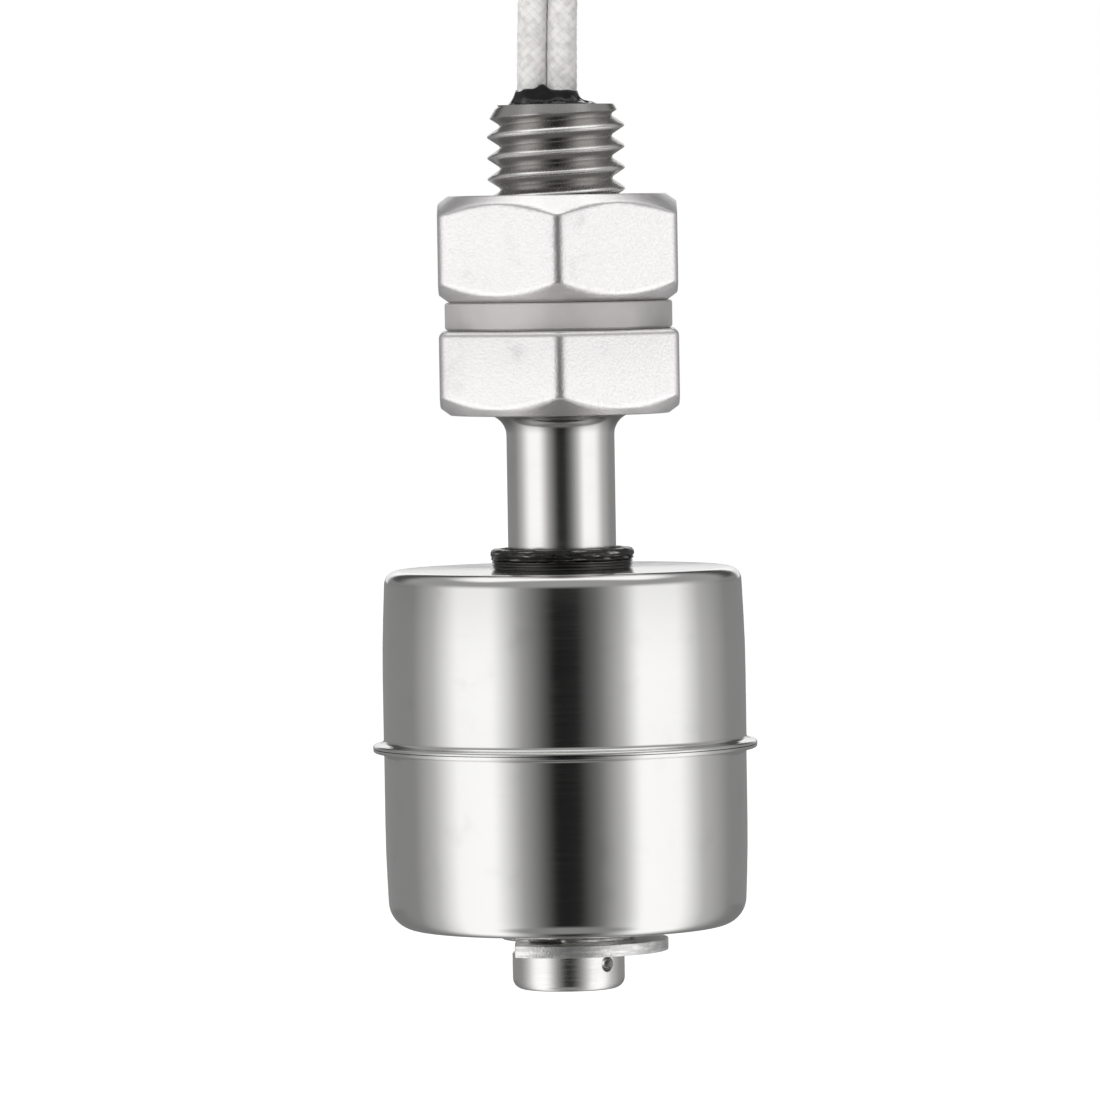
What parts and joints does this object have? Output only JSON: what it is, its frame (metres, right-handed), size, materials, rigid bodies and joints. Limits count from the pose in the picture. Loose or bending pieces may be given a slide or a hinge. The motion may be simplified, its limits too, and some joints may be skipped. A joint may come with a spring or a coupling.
{
  "type": "float level switch",
  "caption": "Vertical stainless float level switch: threaded stem with hex flange, gasket and lock nut, sliding cylindrical float held by a clip, and two braided leads.",
  "frame": {"origin": "on the stem's axis at the hexagonal flange's sealing face, where the gasket seats", "axes": "+Z along the stem towards the thread's free end and the leads, -Y towards a corner of the hexagons, which is the front in the picture"},
  "size_m": [0.0274, 0.0508, 0.0823],
  "materials": {
    "satin_stainless": "bead blasted hexagons, fine turned thread and stem",
    "polished_stainless": "bright drawn sheet, polished",
    "clip_steel": "stamped, grainy sheared edge",
    "silicone": "translucent grey, matt",
    "epoxy": "glossy, uneven",
    "lead_braid": "white braided glass fibre sleeve",
    "wire_insulation": "smooth silicone",
    "tinned_copper": "tinned strands",
    "reed_alloy": "plated",
    "reed_glass": "clear green tinted glass",
    "solder": "bright solder",
    "ferrite": "dark sintered ferrite",
    "spring_steel": "stamped ring",
    "insulator": "shrunk tube",
    "tie_nylon": "natural nylon"
  },
  "bodies": {
    "stem": {"stem_body": "satin_stainless", "gasket": "silicone", "retaining_clip": "clip_steel", "reed_glass": "reed_glass", "reed_blade_upper": "reed_alloy", "reed_blade_lower": "reed_alloy", "inner_wire_left": "wire_insulation", "inner_wire_right": "wire_insulation", "solder_joint_upper": "solder", "solder_joint_lower": "solder", "insulating_sleeve": "insulator", "potting": "epoxy", "lead_left": "lead_braid", "lead_right": "lead_braid", "lead_hank": "lead_braid", "hank_tie": "tie_nylon", "lead_end_left": "tinned_copper", "lead_end_right": "tinned_copper"},
    "float": {"float_upper_shell": "polished_stainless", "float_lower_shell": "polished_stainless", "float_sleeve": "polished_stainless", "ring_magnet": "ferrite", "magnet_stop_lower": "spring_steel", "magnet_stop_upper": "spring_steel"},
    "nut": {"lock_nut": "satin_stainless"}
  },
  "joints": [
    {"name": "float_slide", "type": "slide", "parent": "stem", "child": "float", "axis": [0, 0, 1], "range_m": [0, 0.009]},
    {"name": "nut_travel", "type": "slide", "parent": "stem", "child": "nut", "axis": [0, 0, 1], "range_m": [0, 0.006]}
  ]
}
